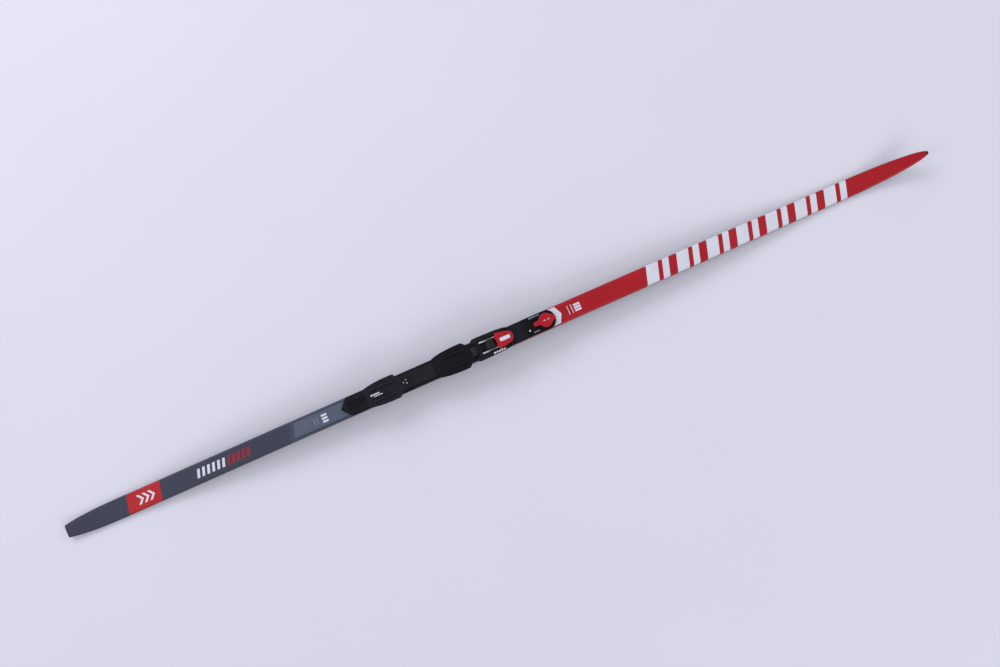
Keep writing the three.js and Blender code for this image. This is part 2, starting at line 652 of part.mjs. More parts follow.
const toeLever = () => {
  const outer = common(prismY(underTop([-14, 23.6], 0, 57.4), wide(30)), prismZ(leverPlan(0), [50, 70]));
  const inner = common(prismY(underTop([-15, 21.6], 2.2, 50), wide(30)), prismZ(leverPlan(1.9), [50, 70]));
  const rearGap = block([-20, -12.2], wide(14.9), [50, 61.6]);
  const rearCorners = block([-20, -12.6], wide(30), [50, 59.5]);
  const shell = cut(outer, inner, rearGap, rearCorners);
  const cams = [camPlate([5.6, 8.4]), camPlate([-8.4, -5.6])];
  const pocket = common(
    block([INLAY.x[0] - 0.2, INLAY.x[1] + 0.2], wide(INLAY.y + 0.2), [55, 70]),
    cut(block([-20, 30], wide(30), [50, 70]), prismY(underTop([-16, 24], INLAY.deep + 0.2, 40), wide(31))),
  );
  const pinHole = axle(PIVOT.x, PIVOT.z, 1.65, wide(30));
  return cut(join(shell, ...cams), pocket, pinHole);
};

const leverInlay = () => {
  const below = prismY(underTop([-16, 24], INLAY.deep, 40), wide(31));
  const band = cut(prismY(underTop(INLAY.x, 0, 50), wide(30)), below);
  const [x0, x1] = INLAY.x;
  const corner = 0.6;
  const plan = symmetric([
    [x0, 0], [x0, INLAY.y - corner], [x0 + corner, INLAY.y],
    [x1 - corner, INLAY.y], [x1, INLAY.y - corner], [x1, 0],
  ]);
  return common(band, prismZ(plan, [50, 70]));
};

// ---------------------------------------------------------------- heel plate, link and lock

const LOCK = { x: -222.6, r: 6.8 };

const linkRail = () => {
  const plan = symmetric([[-262, 0], [-262, 7], [-260, 9], [-224, 9], [-223, 14.5], [-142, 14.5], [-142, 0]]);
  const scaleWindows = [[-210.3, -186], [-182.7, -164.5]].map((ends) => block(ends, wide(8.5), [50.4, 52]));
  const boss = disc(-203.6, 0, 3.6, [50, LINK_Z[1]], 24);
  const pin = disc(-203.6, 0, 1.4, [49, 52], 16);
  return cut(join(cut(prismZ(plan, LINK_Z), ...scaleWindows), boss), pin, ...rivetHolesAt(LINK_RIVETS));
};

const heelPlate = () => {
  const ends = [-312, -240];
  const plan = symmetric([
    [ends[0], 0], [ends[0], 19], [-309.5, 20.9], [-304, 22.4], [-290, 24.7], [-275, 26],
    [-262, 26.3], [-244, 26.2], [-241, 24.6], [ends[1], 20.7], [ends[1], 0],
  ]);
  const tongue = prismZ(
    symmetric([[-241, 0], [-241, 18.4], [-236, 18.4], [-230, 14.5], [-214.5, 14.5], [-213, 12.6], [-213, 0]]),
    [51.5, 54.2],
  );
  const linkTunnel = block([-280, ends[1] + 1], wide(9.3), [49, LINK_Z[1] + 0.2]);
  const latch = common(
    prismZ(outline([[-303, -7.4], [-281, -7.4], [-281, 7.4], [-303, 7.4]]), [52, 54]),
    prismY(outline([[-303, 52], [-281, 52], [-281, 53], [-285, 53.8], [-300, 53.8], [-303, 52.6]]), wide(10)),
  );
  const body = join(slider(plan, ends, SOLE_Z), ridges([-300, -246], 5), tongue, latch);
  const lockSeat = disc(LOCK.x, 0, LOCK.r + 0.25, [51, 56], 36);
  return cut(body, linkTunnel, lockSeat);
};

const sizeLock = () => {
  const body = disc(LOCK.x, 0, LOCK.r, [51.5, 54.4], 36);
  const coinSlot = block([LOCK.x - 5, LOCK.x + 5], wide(0.7), [53.6, 55]);
  return cut(body, coinSlot);
};

// ---------------------------------------------------------------- assembly

const finish = (color, roughness, metalness = 0) =>
  new THREE.MeshStandardMaterial({ color, roughness, metalness });
const MATERIALS = {
  base: finish(0x16171a, 0.35),
  carbon: finish(0x1c1d20, 0.5),
  wood: finish(0xc9a676, 0.8),
  sidewall: finish(0x1a1a1c, 0.4),
  topsheet: finish(0xb3202c, 0.3),
  black: finish(0x1d1e21, 0.45),
  rubber: finish(0x1a1a1a, 0.8),
  red: finish(0xd0222e, 0.35),
  white: finish(0xe8ebf0, 0.4),
  steel: finish(0xc8cacc, 0.25, 1),
  darkSteel: finish(0x4a4b4d, 0.4, 1),
};

const SIDES = ["left", "right"];
const ski = new THREE.Group();
const add = (name, solid, material) => {
  const mesh = new THREE.Mesh(geometryOf(solid), MATERIALS[material]);
  mesh.name = name;
  ski.add(mesh);
};

add("base_sheet", baseSheet(), "base");
add("lower_laminate", lowerLaminate(), "carbon");
add("core", core(), "wood");
add("sidewall_left", sidewall(1), "sidewall");
add("sidewall_right", sidewall(-1), "sidewall");
add("upper_laminate", upperLaminate(), "carbon");
add("top_sheet", topSheet(), "topsheet");
add("tip_guard", guard([TIP_X - GUARD_LENGTH, TIP_X]), "sidewall");
add("tail_guard", guard([TAIL_X, TAIL_X + GUARD_LENGTH]), "sidewall");

add("rail_plate", railPlate(), "black");
add("switch_cover", switchCover(), "black");
add("nose_cap", noseCap(), "white");
add("detent_spring", detentSpring(), "steel");

add("adjuster_knob", adjusterKnob(), "red");
add("knob_gear", knobGear(), "black");
add("knob_screw", knobScrew(), "darkSteel");

add("adjuster_rack", adjusterRack(), "black");
add("toe_plate", toePlate(), "black");
add("toe_housing", toeHousing(), "black");
BODY_RIVETS.forEach((place, i) => add(`body_rivet_${SIDES[i]}`, rivet(place, SOLE_Z), "darkSteel"));
add("bar_block", barBlock(), "darkSteel");
add("flexor", flexor(), "rubber");
add("lever_pin", leverPin(), "steel");
add("link_rail", linkRail(), "black");
LINK_RIVETS.forEach((place, i) => add(`link_rivet_${SIDES[i]}`, rivet(place, RIVET_SEAT_Z), "darkSteel"));

add("bail_wire", bailWire(), "steel");
add("bar_claw_left", barClaw(1), "darkSteel");
add("bar_claw_right", barClaw(-1), "darkSteel");

add("toe_lever", toeLever(), "red");
add("lever_inlay", leverInlay(), "white");

add("heel_plate", heelPlate(), "black");
add("size_lock", sizeLock(), "black");

export default ski;
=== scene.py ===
"""The looks of a cross country ski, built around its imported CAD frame.

Everything is in metres in the frame's own axes: +X runs from tail to tip, +Y is the
skier's left, +Z is up, and z = 0 is the snow. Printed shapes are thin sheets that follow
the top sheet, and the binding's parts are the CAD parts with their edges rounded.
"""
import json
import math

import bmesh
import bpy
import numpy as np
from mathutils import Matrix, Vector
from mathutils.bvhtree import BVHTree

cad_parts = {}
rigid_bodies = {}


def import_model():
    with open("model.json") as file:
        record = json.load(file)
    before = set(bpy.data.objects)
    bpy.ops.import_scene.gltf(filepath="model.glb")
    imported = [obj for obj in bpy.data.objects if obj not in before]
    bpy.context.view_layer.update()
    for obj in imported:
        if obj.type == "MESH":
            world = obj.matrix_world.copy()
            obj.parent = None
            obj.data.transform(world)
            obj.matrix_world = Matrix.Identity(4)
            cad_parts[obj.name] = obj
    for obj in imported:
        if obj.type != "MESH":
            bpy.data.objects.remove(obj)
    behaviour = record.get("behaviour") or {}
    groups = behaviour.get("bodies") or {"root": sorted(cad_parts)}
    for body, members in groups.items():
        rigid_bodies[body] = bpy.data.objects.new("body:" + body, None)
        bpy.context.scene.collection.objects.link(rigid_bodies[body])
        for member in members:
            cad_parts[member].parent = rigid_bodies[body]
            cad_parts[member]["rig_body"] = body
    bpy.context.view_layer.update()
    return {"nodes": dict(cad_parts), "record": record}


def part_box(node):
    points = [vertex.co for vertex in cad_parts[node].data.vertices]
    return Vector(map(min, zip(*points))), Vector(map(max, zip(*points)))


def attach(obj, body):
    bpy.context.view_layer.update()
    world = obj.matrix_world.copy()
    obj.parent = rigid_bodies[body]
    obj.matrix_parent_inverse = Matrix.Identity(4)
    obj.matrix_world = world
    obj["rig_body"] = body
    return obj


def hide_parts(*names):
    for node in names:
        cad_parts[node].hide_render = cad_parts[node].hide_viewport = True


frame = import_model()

MM = 0.001

# ------------------------------------------------------------------ colours, linear

RED = (0.43, 0.011, 0.020)
BADGE_RED = (0.50, 0.024, 0.028)
RED_PLASTIC = (0.45, 0.012, 0.022)
TAIL_GREY = (0.052, 0.056, 0.088)
PANEL_GREY = (0.100, 0.122, 0.176)
STRIP_GREY = (0.066, 0.076, 0.112)
MARK_GREY = (0.17, 0.195, 0.25)
BLACK_FILM = (0.006, 0.006, 0.011)
BLACK_PLASTIC = (0.0070, 0.0074, 0.0120)
# near black for the painted shade in the rail plate's hollows
HOLLOW_SHADE_BLACK = (0.0010, 0.0010, 0.0040)
RAIL_BLACK = (0.0072, 0.0076, 0.0115)
PLASTICS = {  # the binding's other black plastics differ a little in shade
    "switch_cover": (0.0010, 0.0010, 0.0036), "toe_plate": (0.0026, 0.0028, 0.0062),
    "toe_housing": (0.0062, 0.0070, 0.0112), "heel_plate": (0.0105, 0.0108, 0.0190),
    "link_rail": (0.0115, 0.0120, 0.0185),
}
WHITE = (0.74, 0.76, 0.86)
FLOOR = (0.80, 0.79, 0.90)


def shade(colour, factor):
    """A lighter or darker version of a colour, as RGBA."""
    return tuple(c * factor for c in colour[:3]) + (1.0,)


# ------------------------------------------------------------------ procedural materials


class Paint:
    """One node material. Lengths are metres in the frame's axes, so detail has a real size."""

    def __init__(self, name, **shader):
        self.material = bpy.data.materials.new(name)
        self.material.use_nodes = True
        self.tree = self.material.node_tree
        self.shader = self.tree.nodes["Principled BSDF"]
        for socket, value in shader.items():
            self.shader.inputs[socket.replace("_", " ")].default_value = value
        self.place = self.node("TexCoord").outputs["Object"]

    def node(self, kind, **settings):
        made = self.tree.nodes.new("ShaderNode" + kind)
        for key, value in settings.items():
            setattr(made, key, value)
        return made

    def feed(self, socket, value):
        if isinstance(value, bpy.types.NodeSocket):
            self.tree.links.new(value, socket)
        else:
            socket.default_value = value

    def set(self, socket, value):
        self.feed(self.shader.inputs[socket], value)

    def math(self, operation, *values):
        made = self.node("Math", operation=operation)
        for socket, value in zip(made.inputs, values):
            self.feed(socket, value)
        return made.outputs[0]

    def remap(self, value, low, high, to_low=0.0, to_high=1.0):
        made = self.node("MapRange")
        names = ("Value", "From Min", "From Max", "To Min", "To Max")
        for name, given in zip(names, (value, low, high, to_low, to_high)):
            self.feed(made.inputs[name], given)
        return made.outputs["Result"]

    def mix(self, factor, a, b):
        made = self.node("Mix", data_type="RGBA")
        self.feed(made.inputs[0], factor)
        self.feed(made.inputs[6], a)
        self.feed(made.inputs[7], b)
        return made.outputs[2]

    def along(self, axis):
        """The place along one of the frame's axes, in metres."""
        return self.node_output("SeparateXYZ", self.place, axis)

    def node_output(self, kind, vector, output):
        made = self.node(kind)
        self.feed(made.inputs[0], vector)
        return made.outputs[output]

    def noise(self, pitch, detail=2.0, stretch=(1, 1, 1)):
        """Noise with features about pitch metres wide, drawn out along the axes by stretch."""
        mapping = self.node("Mapping")
        self.feed(mapping.inputs["Vector"], self.place)
        mapping.inputs["Scale"].default_value = [1 / (pitch * s) for s in stretch]
        made = self.node("TexNoise")
        self.feed(made.inputs["Vector"], mapping.outputs[0])
        made.inputs["Scale"].default_value = 1.0
        made.inputs["Detail"].default_value = detail
        return made.outputs[0]

    def bump(self, *layers):
        """Layers of (height from 0 to 1, depth in metres), added up into the surface normal."""
        normal = None
        for height, depth in layers:
            made = self.node("Bump")
            made.inputs["Distance"].default_value = depth
            self.feed(made.inputs["Height"], height)
            if normal is not None:
                self.feed(made.inputs["Normal"], normal)
            normal = made.outputs[0]
        self.set("Normal", normal)


def scratches(paint, along=(60, 1, 1), width=0.25 * MM, amount=0.66):
    """Hairlines, 0 to 1, drawn out along one axis and broken up by a wider noise."""
    lines = paint.remap(paint.noise(width, 1.0, along), amount, amount + 0.05)
    patches = paint.remap(paint.noise(9 * MM, 2.0), 0.48, 0.62)
    return paint.math("MULTIPLY", lines, patches)


def moulded(name, colour, roughness, grain=0.45 * MM, depth=0.02 * MM, spread=0.16, hollow=None):
    """Moulded plastic: fine grain, uneven gloss, faint handling scratches.

    A hollow, given as (height, half width), gets painted shade: below that height and within that half
    width the plastic is painted near black, where shade falls.
    """
    paint = Paint(name, Specular_IOR_Level=0.22)
    tone = paint.remap(paint.noise(14 * MM, 3.0), 0.3, 0.7)
    worn = scratches(paint, (18, 1, 18))
    body = paint.mix(tone, shade(colour, 1 - spread), shade(colour, 1 + spread))
    # painted shade: the hollow is painted near black, where shade falls
    if hollow:
        height, half = hollow
        inside = paint.math("LESS_THAN", paint.math("ABSOLUTE", paint.along("Y")), half)
        below = paint.math("LESS_THAN", paint.along("Z"), height)
        body = paint.mix(paint.math("MULTIPLY", inside, below), body, shade(HOLLOW_SHADE_BLACK, 1))
    light = tuple(c * 1.4 + 0.010 for c in colour) + (1.0,)
    paint.set("Base Color", paint.mix(paint.math("MULTIPLY", worn, 0.5), body, light))
    uneven = paint.remap(paint.noise(3 * MM, 4.0), 0.25, 0.75, roughness - 0.07, roughness + 0.07)
    paint.set("Roughness", paint.math("ADD", uneven, paint.math("MULTIPLY", worn, 0.12)))
    paint.bump((paint.noise(grain, 2.0), depth), (paint.noise(6 * MM, 2.0), 0.05 * MM))
    return paint.material


def tipped(name, colour, top):
    """Tip guard plastic, with the top sheet's colour carried on over its upper face."""
    paint = Paint(name, Specular_IOR_Level=0.22)
    upward = paint.node_output("SeparateXYZ", paint.node("NewGeometry").outputs["Normal"], "Z")
    tone = paint.remap(paint.noise(14 * MM, 3.0), 0.3, 0.7)
    body = paint.mix(tone, shade(colour, 0.85), shade(colour, 1.6))
    printed = paint.mix(tone, shade(top, 0.95), shade(top, 1.05))
    paint.set("Base Color", paint.mix(paint.remap(upward, 0.55, 0.7), body, printed))
    paint.set("Roughness", paint.remap(paint.noise(3 * MM, 4.0), 0.25, 0.75, 0.34, 0.48))
    paint.bump((paint.noise(0.45 * MM, 2.0), 0.012 * MM))
    return paint.material


def film(name, colour, roughness=0.30, spread=0.05):
    """Gloss film with printed colour: faint orange peel and long hairlines from use."""
    paint = Paint(name, Specular_IOR_Level=0.2, Coat_Weight=0.12, Coat_Roughness=0.1)
    tone = paint.remap(paint.noise(60 * MM, 3.0, (3, 1, 1)), 0.3, 0.7)
    lines = scratches(paint, (90, 1, 1), 0.2 * MM, 0.64)
    body = paint.mix(tone, shade(colour, 1 - spread), shade(colour, 1 + spread))
    light = tuple(c * 1.1 + 0.012 for c in colour) + (1.0,)
    paint.set("Base Color", paint.mix(paint.math("MULTIPLY", lines, 0.55), body, light))
    uneven = paint.remap(paint.noise(25 * MM, 4.0, (2, 1, 1)), 0.3, 0.7, roughness - 0.06, roughness + 0.08)
    paint.set("Roughness", paint.math("ADD", uneven, paint.math("MULTIPLY", lines, 0.15)))
    paint.bump((paint.noise(2.6 * MM, 1.0), 0.012 * MM), (lines, 0.004 * MM))
    return paint.material


def screen_print(name, colour):
    """Screen-printed ink: nearly flat, with a slight texture and thin spots."""
    paint = Paint(name, Specular_IOR_Level=0.3)
    thin = paint.remap(paint.noise(1.1 * MM, 3.0), 0.62, 0.8)
    tone = paint.remap(paint.noise(30 * MM, 2.0), 0.3, 0.7)
    body = paint.mix(tone, shade(colour, 0.95), shade(colour, 1.03))
    paint.set("Base Color", paint.mix(paint.math("MULTIPLY", thin, 0.35), body, shade(colour, 0.82)))
    paint.set("Roughness", paint.remap(paint.noise(5 * MM, 3.0), 0.3, 0.7, 0.34, 0.5))
    paint.bump((paint.noise(0.5 * MM, 2.0), 0.008 * MM))
    return paint.material


KICK_ZONE = (-0.40, 0.30)  # where the base is roughened for kick wax, under the foot


def running_base():
    """Sintered base: a ground structure of fine lines, duller in the kick zone, waxed elsewhere."""
    paint = Paint("sintered_base", Specular_IOR_Level=0.3)
    structure = paint.noise(0.7 * MM, 3.0, (160, 1, 1))
    cloudy = paint.remap(paint.noise(40 * MM, 4.0, (4, 1, 1)), 0.3, 0.7)
    x = paint.along("X")
    fade = 40 * MM
    behind = paint.remap(x, KICK_ZONE[0], KICK_ZONE[0] + fade)
    ahead = paint.remap(x, KICK_ZONE[1] - fade, KICK_ZONE[1], 1.0, 0.0)
    kick = paint.math("MULTIPLY", behind, ahead)
    glide = paint.mix(cloudy, (0.010, 0.010, 0.013, 1), (0.017, 0.017, 0.021, 1))
    dull = paint.mix(cloudy, (0.019, 0.019, 0.022, 1), (0.030, 0.030, 0.033, 1))
    paint.set("Base Color", paint.mix(kick, glide, dull))
    gloss = paint.remap(structure, 0.3, 0.7, 0.30, 0.42)
    paint.set("Roughness", paint.math("ADD", gloss, paint.math("MULTIPLY", kick, 0.22)))
    paint.bump((structure, 0.025 * MM))
    return paint.material


def edge_plastic():
    """Sidewall plastic: sanded along its length, with a few knocks."""
    paint = Paint("sidewall_plastic", Specular_IOR_Level=0.25)
    sanded = paint.noise(0.35 * MM, 2.0, (120, 1, 1))
    knocks = paint.remap(paint.noise(5 * MM, 4.0, (2, 1, 1)), 0.66, 0.74)
    body = paint.mix(sanded, (0.009, 0.009, 0.011, 1), (0.020, 0.020, 0.023, 1))
    paint.set("Base Color", paint.mix(paint.math("MULTIPLY", knocks, 0.4), body, (0.06, 0.06, 0.065, 1)))
    paint.set("Roughness", paint.remap(sanded, 0.3, 0.7, 0.34, 0.52))
    paint.bump((sanded, 0.012 * MM))
    return paint.material


def laminate():
    """Woven carbon and glass, at a 2 mm tow."""
    paint = Paint("laminate_weave", Roughness=0.4)
    tow = 2 * MM
    x = paint.math("PINGPONG", paint.along("X"), tow)
    y = paint.math("PINGPONG", paint.along("Y"), tow)
    over = paint.math("GREATER_THAN", paint.math("ADD", x, y), tow)
    paint.set("Base Color", paint.mix(over, (0.012, 0.012, 0.013, 1), (0.035, 0.035, 0.038, 1)))
    paint.bump((over, 0.05 * MM))
    return paint.material


def timber():
    """Light laminated core wood, with long grain and glue lines every 12 mm across."""
    paint = Paint("core_wood", Roughness=0.75)
    grain = paint.noise(1.2 * MM, 4.0, (45, 1, 1))
    half_strip = 6 * MM
    strip = paint.math("PINGPONG", paint.along("Y"), half_strip)
    glue = paint.remap(strip, half_strip - 0.3 * MM, half_strip - 0.1 * MM)
    body = paint.mix(grain, (0.36, 0.23, 0.11, 1), (0.62, 0.45, 0.26, 1))
    paint.set("Base Color", paint.mix(glue, body, (0.16, 0.09, 0.04, 1)))
    paint.bump((grain, 0.05 * MM))
    return paint.material


def metal(name, colour, roughness):
    """Drawn or pressed steel: fine satin texture, smudges and a little tarnish."""
    paint = Paint(name, Metallic=1.0)
    satin = paint.noise(0.3 * MM, 2.0)
    smudge = paint.remap(paint.noise(4 * MM, 3.0), 0.35, 0.7)
    body = paint.mix(satin, shade(colour, 0.86), shade(colour, 1.08))
    paint.set("Base Color", paint.mix(paint.math("MULTIPLY", smudge, 0.25), body, shade(colour, 0.62)))
    rough = paint.remap(satin, 0.3, 0.7, roughness - 0.06, roughness + 0.08)
    paint.set("Roughness", paint.math("ADD", rough, paint.math("MULTIPLY", smudge, 0.1)))
    paint.bump((satin, 0.008 * MM))
    return paint.material


def elastomer():
    """Rubber of the flexor: matt, dusty in the hollows, with mould pimples."""
    paint = Paint("flexor_rubber", Specular_IOR_Level=0.3)
    dust = paint.remap(paint.noise(2.5 * MM, 4.0), 0.5, 0.75)
    paint.set("Base Color", paint.mix(dust, (0.014, 0.014, 0.016, 1), (0.032, 0.032, 0.034, 1)))
    paint.set("Roughness", paint.remap(paint.noise(1.5 * MM, 2.0), 0.3, 0.7, 0.62, 0.85))
    paint.bump((paint.noise(0.4 * MM, 2.0), 0.04 * MM))
    return paint.material


def pale_floor():
    """A plain pale floor, with a faint wide unevenness."""
    paint = Paint("pale_floor", Roughness=0.85)
    paint.set("Base Color", paint.mix(paint.noise(0.4, 2.0), shade(FLOOR, 0.985), shade(FLOOR, 1.01)))
    return paint.material


PLASTIC_ROUGHNESS = 0.50
SMOOTH_GRAIN, SMOOTH_DEPTH = 0.6 * MM, 0.008 * MM  # of the coloured plastics
FINISHES = {  # by material slot
    "base": running_base(),
    "carbon": laminate(),
    "wood": timber(),
    "sidewall": edge_plastic(),
    "topsheet": film("black_film", BLACK_FILM, 0.36, 0.2),
    "black": moulded("black_plastic", BLACK_PLASTIC, PLASTIC_ROUGHNESS),
    "rubber": elastomer(),
    "red": moulded("red_plastic", RED_PLASTIC, 0.38, SMOOTH_GRAIN, SMOOTH_DEPTH, 0.06),
    "white": moulded("white_plastic", WHITE, 0.42, SMOOTH_GRAIN, SMOOTH_DEPTH, 0.03),
    "steel": metal("bright_steel", (0.86, 0.86, 0.88), 0.34),
    "dark_steel": metal("dark_steel", (0.045, 0.047, 0.054), 0.42),
}
# painted shade for the rail plate's slots and windows, where shade falls
RAIL_SHADED_HOLLOW = (48.6 * MM, 15 * MM)  # below this height, and this far to each side
FINISH_OF = {  # by node, before its slot's finish
    node: moulded(node + "_plastic", colour, PLASTIC_ROUGHNESS) for node, colour in PLASTICS.items()
}
# the rail plate's plastic, with painted shade in its hollows
FINISH_OF["rail_plate"] = moulded("rail_plastic", RAIL_BLACK, PLASTIC_ROUGHNESS, hollow=RAIL_SHADED_HOLLOW)
FINISH_OF["tip_guard"] = tipped("tip_plastic", BLACK_PLASTIC, RED)
RED_FILM = film("red_film", RED)
BADGE_FILM = film("badge_film", BADGE_RED)
MATT_FILM = 0.42
GREY_FILM = film("grey_film", TAIL_GREY, MATT_FILM)
PANEL_FILM = film("panel_film", PANEL_GREY, MATT_FILM)
STRIP_FILM = film("strip_film", STRIP_GREY, MATT_FILM)
WHITE_INK = screen_print("white_ink", WHITE)
RED_INK = screen_print("red_ink", (0.36, 0.020, 0.030))
GREY_INK = screen_print("grey_ink", MARK_GREY)
COVER_INK = screen_print("cover_ink", (0.30, 0.34, 0.42))
KNOB_INK = screen_print("knob_ink", (0.62, 0.36, 0.36))
STROKE_INK = screen_print("stroke_ink", (0.125, 0.150, 0.205))
SHADOW_INK = screen_print("shadow_ink", (0.032, 0.036, 0.058))


# ------------------------------------------------------------------ meshes


def piece(name, mesh, material, body):
    """A new visible piece that rides on a body and takes its finish from a material slot."""
    made = bpy.data.objects.new(name, mesh)
    bpy.context.scene.collection.objects.link(made)
    mesh.materials.append(material)
    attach(made, body)
    return made


def body_of(node):
    """The name of the body that a CAD node rides on."""
    return frame["nodes"][node]["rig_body"]


SLOT_OF = {s["node"]: s["material_slot"] for s in frame["record"]["subparts"]}

SHARP = math.radians(26)  # edges that turn more than this get rounded
ACROSS = math.radians(35)  # an edge's neighbour limits its rounding if it leaves at more than this
ROOM_SHARE = 0.42  # of the neighbour's length
WELD = 0.002 * MM
FLAT = math.radians(0.4)  # faces that turn less than this are one face
CREASE = math.radians(50)  # a printed sheet's edges that turn more than this stay sharp


def room_beside(edge):
    """How wide an edge may be rounded before it meets the next edge of its faces."""
    room = math.inf
    for vert in edge.verts:
        away = (edge.other_vert(vert).co - vert.co).normalized()
        for other in vert.link_edges:
            if other is edge:
                continue
            turn = away.angle((other.other_vert(vert).co - vert.co).normalized(), 0)
            if ACROSS < turn < math.pi - ACROSS:
                room = min(room, ROOM_SHARE * other.calc_length())
    return room


def welded(node):
    """The CAD node's solid as one joined mesh, with its flat faces whole."""
    mesh = bmesh.new()
    mesh.from_mesh(frame["nodes"][node].data)
    bmesh.ops.remove_doubles(mesh, verts=mesh.verts, dist=WELD)
    bmesh.ops.dissolve_limit(mesh, angle_limit=FLAT, verts=mesh.verts, edges=mesh.edges)
    return mesh


def refined(node, radius, material):
    """The CAD node again, with rounded edges and smooth curves. It stands for that node."""
    mesh = welded(node)
    weights = []
    for face in mesh.faces:
        face.smooth = True
    for edge in mesh.edges:
        edge.smooth = True
        turns = edge.is_manifold and edge.calc_face_angle(0) > SHARP
        weights.append(min(1.0, room_beside(edge) / radius) if turns else 0.0)
    data = bpy.data.meshes.new(node + "_look")
    mesh.to_mesh(data)
    mesh.free()
    for leftover in ("custom_normal", "sharp_face"):
        if leftover in data.attributes:
            data.attributes.remove(data.attributes[leftover])
    data.materials.clear()
    layer = data.attributes.new("bevel_weight_edge", "FLOAT", "EDGE")
    layer.data.foreach_set("value", weights)
    slot = SLOT_OF[node]
    made = piece(node + "_look", data, material or FINISHES[slot], body_of(node))
    bevel = made.modifiers.new("round_edges", "BEVEL")
    bevel.limit_method = "WEIGHT"
    bevel.width = radius
    bevel.segments = 2
    bevel.use_clamp_overlap = False
    made.modifiers.new("even_shading", "WEIGHTED_NORMAL").keep_sharp = True
    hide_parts(node)
    return made


def shell(name, rows, thickness, material, body):
    """A thin closed sheet over a grid of (point, normal) rows."""
    mesh = bmesh.new()
    top = [[mesh.verts.new(p) for p, _ in row] for row in rows]
    under = [[mesh.verts.new(p - n * thickness) for p, n in row] for row in rows]
    for i in range(len(rows) - 1):
        for j in range(len(rows[0]) - 1):
            mesh.faces.new((top[i][j], top[i + 1][j], top[i + 1][j + 1], top[i][j + 1]))
            mesh.faces.new((under[i][j], under[i][j + 1], under[i + 1][j + 1], under[i + 1][j]))
    last_i, last_j = len(rows) - 1, len(rows[0]) - 1
    for j in range(last_j):
        mesh.faces.new((top[0][j], top[0][j + 1], under[0][j + 1], under[0][j]))
        mesh.faces.new((top[last_i][j], under[last_i][j], under[last_i][j + 1], top[last_i][j + 1]))
    for i in range(last_i):
        mesh.faces.new((top[i][0], under[i][0], under[i + 1][0], top[i + 1][0]))
        mesh.faces.new((top[i][last_j], top[i + 1][last_j], under[i + 1][last_j], under[i][last_j]))
    bmesh.ops.recalc_face_normals(mesh, faces=mesh.faces)
    for face in mesh.faces:
        face.smooth = True
    for edge in mesh.edges:
        edge.smooth = edge.calc_face_angle(0) < CREASE
    data = bpy.data.meshes.new(name)
    mesh.to_mesh(data)
    mesh.free()
    return piece(name, data, material, body)


# ------------------------------------------------------------------ the top sheet


def sheet_stations():
    """The top sheet's sections, read from its CAD node: x, crown (y, z), edge (y, z), underside."""
    points = {}
    for vert in frame["nodes"]["top_sheet"].data.vertices:
        if vert.co.y > 0:
            points.setdefault(round(vert.co.x, 6), set()).add((round(vert.co.y, 6), round(vert.co.z, 6)))
    rows = []
    for x in sorted(points):
        corners = points[x]
        crown = max(corners, key=lambda p: p[1])
        edge = max(corners, key=lambda p: p[0])
        rows.append((x, *crown, *edge))
    return np.array(rows).T


SHEET = dict(zip(("x", "crown_y", "crown_z", "edge_y", "edge_z"), sheet_stations()))


def sheet_at(x, key):
    """One measure of the top sheet's section at x."""
    return float(np.interp(x, SHEET["x"], SHEET[key]))


CROWN_RADIUS = 1.6 * MM


def sheet_point(x, y, lift=0.0):
    """A point of the top surface and its normal, across the flat, the rounded crown and the bevel."""
    crown_y, crown_z = sheet_at(x, "crown_y"), sheet_at(x, "crown_z")
    edge_y, edge_z = sheet_at(x, "edge_y"), sheet_at(x, "edge_z")
    slope = math.atan2(crown_z - edge_z, max(edge_y - crown_y, 1e-6))
    radius = min(CROWN_RADIUS, 0.5 * crown_y)
    reach = radius * math.tan(slope / 2)
    side, y = math.copysign(1, y), min(abs(y), edge_y)
    start = crown_y - reach
    stop = crown_y + reach * math.cos(slope)
    if y <= start:
        tilt, z = 0.0, crown_z
    elif y < stop:
        tilt = math.asin(min(1.0, (y - start) / radius))
        z = crown_z - radius * (1 - math.cos(tilt))
    else:
        tilt = slope
        z = crown_z - (y - crown_y) * math.tan(slope)
    normal = Vector((0, side * math.sin(tilt), math.cos(tilt)))
    return Vector((x, side * y, z)) + normal * lift, normal


def across_sheet(x):
    """Where to put points across the whole width at a station, denser round the crowns."""
    crown, edge = sheet_at(x, "crown_y"), sheet_at(x, "edge_y")
    near_crown = [crown + step * 0.45 * MM for step in (-2, -1, 0, 1, 2)]
    half = [0.35 * crown, 0.7 * crown, *near_crown, edge]
    half = [min(max(y, 0.02 * MM * (i + 1)), edge) for i, y in enumerate(half)]  # in order at a pointed end
    return [-y for y in reversed(half)] + [0.0] + half


SLANT = 0.32  # how far a slanted edge runs toward the tip for each unit toward +Y
PRINT_LIFT = 0.07 * MM  # of the lowest print; prints over it lie two or three times as high
PRINT_THICK = 0.05 * MM
STEP = 9 * MM  # between a printed field's stations along the ski
STEP_ACROSS = 6 * MM
SHEET_THICK = 0.9 * MM


def stations_between(start, end):
    """Even stations from start to end, at most STEP apart."""
    count = max(2, math.ceil((end - start) / STEP))
    return [start + (end - start) * i / count for i in range(count + 1)]


def full_print(name, start, end, material, lift=PRINT_LIFT, slants=(SLANT, SLANT)):
    """A printed field over the whole width, from start to end along the middle line."""
    rows = []
    for x in stations_between(start, end):
        share = (x - start) / (end - start)
        slant = slants[0] * (1 - share) + slants[1] * share
        row = []
        for y in across_sheet(x):
            at = min(max(x + slant * y, SHEET["x"][0]), SHEET["x"][-1])
            limit = sheet_at(at, "edge_y")
            row.append(sheet_point(at, max(-limit, min(limit, y)), lift))
        rows.append(row)
    return shell(name, rows, PRINT_THICK, material, "ski")


